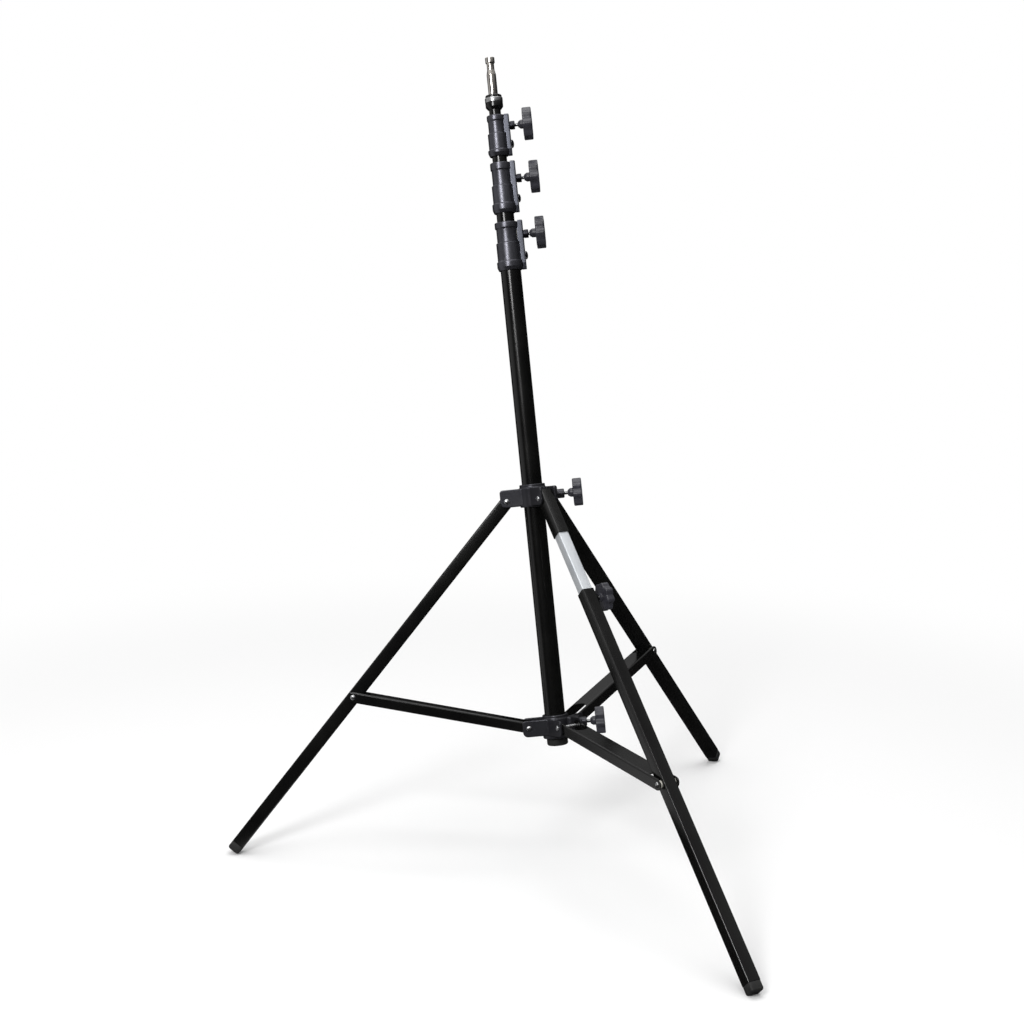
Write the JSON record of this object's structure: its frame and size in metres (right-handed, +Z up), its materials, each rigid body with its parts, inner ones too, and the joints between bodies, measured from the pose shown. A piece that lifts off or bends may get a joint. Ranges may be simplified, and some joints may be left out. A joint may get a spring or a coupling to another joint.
{
  "type": "studio stand",
  "caption": "Studio stand: telescopic steel column with clamped risers on folding tripod legs, one of them a levelling leg, with a spigot stud on top.",
  "frame": {"origin": "on the floor, at the centre of the bounding box of the stand as it stands in the picture, legs open and risers down", "axes": "+Z up from the floor; +X towards the side that the clamping knobs are on; -Y towards the levelling leg and the camera. The column leans, because the levelling leg is drawn out"},
  "size_m": [0.8842, 1, 1.3484],
  "materials": {
    "satin_black": "satin black powder coat on steel tube and sheet",
    "cast_grey": "cast alloy with a dark grey satin coating",
    "plate_grey": "cast alloy, lighter grey satin coating",
    "knob_grey": "dark grey moulded nylon, fine texture",
    "bright_steel": "zinc-plated or bright steel",
    "chrome": "polished nickel or chrome plate on steel",
    "rubber": "black moulded rubber",
    "nylon": "off-white nylon"
  },
  "bodies": {
    "lower_collar": {"lower_collar": "cast_grey", "left_lower_pivot_pin": "bright_steel", "front_lower_pivot_pin": "bright_steel", "back_lower_pivot_pin": "bright_steel"},
    "lower_knob": {"lower_collar_knob": "knob_grey", "lower_collar_screw": "bright_steel"},
    "upper_collar": {"upper_collar": "cast_grey"},
    "upper_knob": {"upper_collar_knob": "knob_grey", "upper_collar_screw": "bright_steel"},
    "column": {"base_tube": "satin_black", "base_end_plug": "rubber", "base_collar": "cast_grey", "base_clamp_plate": "plate_grey", "base_clamp_boss": "satin_black", "base_plate_rivet": "satin_black", "base_brake_shoe": "nylon"},
    "base_knob": {"base_knob": "knob_grey", "base_screw": "bright_steel"},
    "riser_1": {"riser_1_tube": "satin_black", "riser_1_guide_bush": "nylon", "riser_1_collar": "cast_grey", "riser_1_clamp_plate": "plate_grey", "riser_1_clamp_boss": "satin_black", "riser_1_plate_rivet": "satin_black", "riser_1_brake_shoe": "nylon"},
    "riser_1_knob": {"riser_1_knob": "knob_grey", "riser_1_screw": "bright_steel"},
    "riser_2": {"riser_2_tube": "satin_black", "riser_2_guide_bush": "nylon", "riser_2_collar": "cast_grey", "riser_2_clamp_plate": "plate_grey", "riser_2_clamp_boss": "satin_black", "riser_2_plate_rivet": "satin_black", "riser_2_brake_shoe": "nylon"},
    "riser_2_knob": {"riser_2_knob": "knob_grey", "riser_2_screw": "bright_steel"},
    "riser_3": {"riser_3_tube": "satin_black", "riser_3_guide_bush": "nylon", "spigot_socket": "satin_black", "spigot_band": "bright_steel", "spigot_stud": "chrome"},
    "left_strut": {"left_strut": "satin_black", "left_knee_pin": "bright_steel"},
    "left_leg": {"left_leg_tube": "satin_black", "left_foot": "rubber", "left_pivot_bush": "nylon"},
    "back_strut": {"back_strut": "satin_black", "back_knee_pin": "bright_steel"},
    "back_leg": {"back_leg_tube": "satin_black", "back_foot": "rubber", "back_pivot_bush": "nylon"},
    "front_strut": {"front_strut": "satin_black"},
    "front_leg": {"front_leg_sleeve": "satin_black", "front_leg_inner_tube": "bright_steel"},
    "front_leg_lower": {"front_leg_lower_tube": "satin_black", "front_foot": "rubber", "front_pivot_bush": "nylon"},
    "levelling_knob": {"levelling_knob": "knob_grey", "levelling_screw": "bright_steel"}
  },
  "joints": [
    {"name": "leg_fold", "type": "slide", "parent": "lower_collar", "child": "upper_collar", "axis": [-0.1074, 0.1861, 0.9766], "range_m": [0, 0.3431]},
    {"name": "column_height", "type": "slide", "parent": "lower_collar", "child": "column", "axis": [-0.1074, 0.1861, 0.9766], "range_m": [-0.15, 0]},
    {"name": "riser_1_height", "type": "slide", "parent": "column", "child": "riser_1", "axis": [-0.1074, 0.1861, 0.9766], "range_m": [0, 0.66]},
    {"name": "riser_2_height", "type": "slide", "parent": "riser_1", "child": "riser_2", "axis": [-0.1074, 0.1861, 0.9766], "range_m": [0, 0.78]},
    {"name": "riser_3_height", "type": "slide", "parent": "riser_2", "child": "riser_3", "axis": [-0.1074, 0.1861, 0.9766], "range_m": [0, 0.85]},
    {"name": "left_strut_pivot", "type": "hinge", "parent": "lower_collar", "child": "left_strut", "pos_m": [0.07682, 0.02499, 0.22454], "axis": [0.0101, 0.9825, -0.1861], "range_deg": [0, 69.17]},
    {"name": "left_knee_pivot", "type": "hinge", "parent": "left_strut", "child": "left_leg", "pos_m": [-0.22613, 0.03695, 0.2712], "axis": [-0.0101, -0.9825, 0.1861], "range_deg": [0, 109]},
    {"name": "front_strut_pivot", "type": "hinge", "parent": "lower_collar", "child": "front_strut", "pos_m": [0.14383, -0.01278, 0.23911], "axis": [-0.866, -0.5, 0], "range_deg": [0, 60.2]},
    {"name": "front_knee_pivot", "type": "hinge", "parent": "front_strut", "child": "front_leg", "pos_m": [0.2972, -0.27843, 0.24188], "axis": [0.866, 0.5, 0], "range_deg": [0, 71.71]},
    {"name": "back_strut_pivot", "type": "hinge", "parent": "lower_collar", "child": "back_strut", "pos_m": [0.14462, 0.06413, 0.22454], "axis": [0.8559, -0.4825, 0.1861], "range_deg": [0, 69.17]},
    {"name": "back_knee_pivot", "type": "hinge", "parent": "back_strut", "child": "back_leg", "pos_m": [0.28574, 0.33247, 0.2712], "axis": [-0.8559, 0.4825, -0.1861], "range_deg": [0, 109]},
    {"name": "levelling", "type": "slide", "parent": "front_leg", "child": "front_leg_lower", "axis": [0.3599, -0.6233, -0.6943], "range_m": [-0.1135, 0.04]},
    {"name": "lower_knob_turn", "type": "hinge", "parent": "lower_collar", "child": "lower_knob", "pos_m": [0.12165, 0.02563, 0.23037], "axis": [0.9942, 0.0101, 0.1074], "range_deg": [0, 360]},
    {"name": "upper_knob_turn", "type": "hinge", "parent": "upper_collar", "child": "upper_knob", "pos_m": [0.07951, 0.09862, 0.61341], "axis": [0.9942, 0.0101, 0.1074], "range_deg": [0, 360]},
    {"name": "base_knob_turn", "type": "hinge", "parent": "column", "child": "base_knob", "pos_m": [0.0315, 0.18177, 1.04977], "axis": [0.9942, 0.0101, 0.1074], "range_deg": [0, 360]},
    {"name": "riser_1_knob_turn", "type": "hinge", "parent": "riser_1", "child": "riser_1_knob", "pos_m": [0.02124, 0.19954, 1.14304], "axis": [0.9942, 0.0101, 0.1074], "range_deg": [0, 360]},
    {"name": "riser_2_knob_turn", "type": "hinge", "parent": "riser_2", "child": "riser_2_knob", "pos_m": [0.01152, 0.21638, 1.23143], "axis": [0.9942, 0.0101, 0.1074], "range_deg": [0, 360]},
    {"name": "levelling_knob_turn", "type": "hinge", "parent": "front_leg_lower", "child": "levelling_knob", "pos_m": [0.17553, -0.06769, 0.47661], "axis": [0.866, 0.5, 0], "range_deg": [0, 360]}
  ],
  "couplings": [
    {"joint": "left_strut_pivot", "follows": "leg_fold", "rad_per_m": 3.5187},
    {"joint": "left_knee_pivot", "follows": "leg_fold", "rad_per_m": 5.5447},
    {"joint": "front_strut_pivot", "follows": "leg_fold", "rad_per_m": 3.0623},
    {"joint": "front_knee_pivot", "follows": "leg_fold", "rad_per_m": 3.648},
    {"joint": "back_strut_pivot", "follows": "leg_fold", "rad_per_m": 3.5187},
    {"joint": "back_knee_pivot", "follows": "leg_fold", "rad_per_m": 5.5447}
  ]
}
